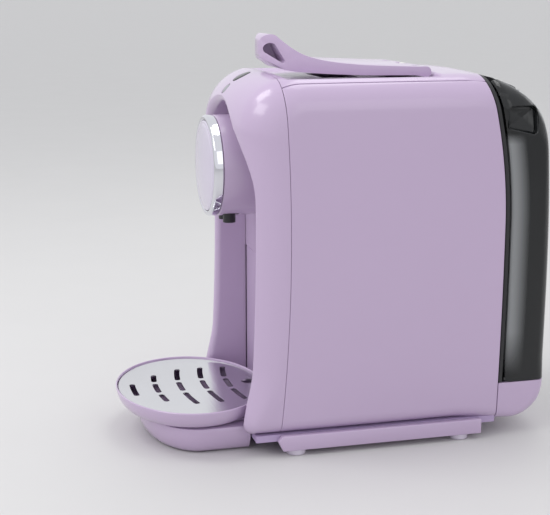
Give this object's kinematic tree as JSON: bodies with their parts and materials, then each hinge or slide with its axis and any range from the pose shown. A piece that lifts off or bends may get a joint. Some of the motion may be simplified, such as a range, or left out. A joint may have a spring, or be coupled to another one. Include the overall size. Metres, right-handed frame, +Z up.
{
  "type": "pod coffee machine",
  "caption": "Compact pod coffee machine with a lift lever, round brew head in an arched cup niche, oval drip tray and a smoky rear water tank.",
  "frame": {"origin": "middle of the bounding box in plan, on the surface that the feet stand on", "axes": "+Z up; the drip tray and brew head face -Y and the water tank is at +Y; +X is the side seen when the front is to the left"},
  "size_m": [0.15, 0.298, 0.2752],
  "materials": {
    "lilac_plastic": "gloss",
    "pearl_plastic": "gloss",
    "black_plastic": "satin",
    "black_gloss": "gloss",
    "base_plastic": "matte",
    "foot_rubber": "matte",
    "foot_rubber_dark": "matte",
    "chrome_trim": "polished",
    "grate_steel": "brushed",
    "steel": "satin",
    "silicone": "matte",
    "cast_aluminium": "cast",
    "ceramic": "matte",
    "pump_brass": "satin",
    "nylon": "satin",
    "circuit_board": "satin",
    "hose_silicone": "satin",
    "hose_white": "satin",
    "smoke_tank": "tinted",
    "button_dark": "gloss",
    "button_grey": "gloss",
    "rotor_blue": "satin"
  },
  "bodies": {
    "housing": {"side_panel_left": "lilac_plastic", "side_panel_right": "lilac_plastic", "front_bezel": "lilac_plastic", "niche_liner": "lilac_plastic", "top_cover": "lilac_plastic", "rear_base": "lilac_plastic", "tank_dock": "black_plastic", "base_plate": "base_plastic", "skid_left": "lilac_plastic", "skid_right": "lilac_plastic", "feet": "foot_rubber", "tray_holder": "lilac_plastic", "head_shell": "lilac_plastic", "head_ring": "chrome_trim", "head_cap": "pearl_plastic", "coffee_spout": "black_plastic", "outlet_plate": "steel", "outlet_gasket": "silicone", "brew_frame_left": "steel", "brew_frame_right": "steel", "frame_spacers": "steel", "brew_sleeve": "base_plastic", "capsule_chute": "base_plastic", "idler_shaft": "steel", "lever_pin": "steel", "boiler": "cast_aluminium", "thermostat": "ceramic", "pump": "pump_brass", "pump_mounts": "foot_rubber_dark", "flow_meter": "nylon", "flow_meter_cover": "nylon", "control_board": "circuit_board", "button_board": "circuit_board", "suction_hose": "hose_silicone", "pump_hose": "hose_silicone", "pressure_hose": "hose_white", "brew_hose": "hose_white", "dock_seal": "silicone", "cord_gland": "black_plastic", "base_screws": "steel"},
    "lever": {"lever_handle": "lilac_plastic", "lever_gear": "nylon"},
    "idler": {"idler_gear": "nylon"},
    "piston": {"brew_piston": "nylon", "piston_seal": "silicone"},
    "tray": {"drip_tray": "lilac_plastic", "capsule_bin": "lilac_plastic"},
    "grate": {"drip_grate": "grate_steel"},
    "tank": {"water_tank": "smoke_tank", "lid_pin": "steel", "valve_spring": "steel"},
    "lid": {"tank_lid": "black_gloss"},
    "valve": {"tank_valve": "black_plastic"},
    "brew_button": {"brew_button": "button_dark"},
    "power_button": {"power_button": "button_grey"},
    "rotor": {"flow_rotor": "rotor_blue"}
  },
  "joints": [
    {"name": "lever_lift", "type": "hinge", "parent": "housing", "child": "lever", "pos_m": [0, 0.0575, 0.2505], "axis": [-1, 0, 0], "range_deg": [0, 75]},
    {"name": "idler_turn", "type": "hinge", "parent": "housing", "child": "idler", "pos_m": [0, 0.0575, 0.22175], "axis": [-1, 0, 0], "range_deg": [-141, 0]},
    {"name": "piston_slide", "type": "slide", "parent": "housing", "child": "piston", "axis": [0, 1, 0], "range_m": [0, 0.0246]},
    {"name": "tray_slide", "type": "slide", "parent": "housing", "child": "tray", "axis": [0, -1, 0], "range_m": [0, 0.12]},
    {"name": "grate_lift", "type": "slide", "parent": "tray", "child": "grate", "axis": [0, 0, 1], "range_m": [0, 0.08]},
    {"name": "tank_lift", "type": "slide", "parent": "housing", "child": "tank", "axis": [0, 0, 1], "range_m": [0, 0.23]},
    {"name": "lid_hinge", "type": "hinge", "parent": "tank", "child": "lid", "pos_m": [0, 0.123, 0.2364], "axis": [-1, 0, 0], "range_deg": [0, 100]},
    {"name": "valve_lift", "type": "slide", "parent": "tank", "child": "valve", "axis": [0, 0, 1], "range_m": [0, 0.003], "stiffness_N_per_m": 80, "springref_m": -0.003, "deforming": ["valve_spring"]},
    {"name": "brew_press", "type": "slide", "parent": "housing", "child": "brew_button", "axis": [0, 0.4384, -0.8988], "range_m": [0, 0.001], "stiffness_N_per_m": 1500},
    {"name": "power_press", "type": "slide", "parent": "housing", "child": "power_button", "axis": [0, 0.7431, -0.6691], "range_m": [0, 0.001], "stiffness_N_per_m": 1500},
    {"name": "rotor_spin", "type": "hinge", "parent": "housing", "child": "rotor", "pos_m": [-0.0405, 0.078, 0.112], "axis": [1, 0, 0], "continuous": true}
  ],
  "couplings": [
    {"joint": "idler_turn", "follows": "lever_lift", "ratio": -1.875},
    {"joint": "piston_slide", "follows": "lever_lift", "m_per_rad": 0.01875}
  ]
}
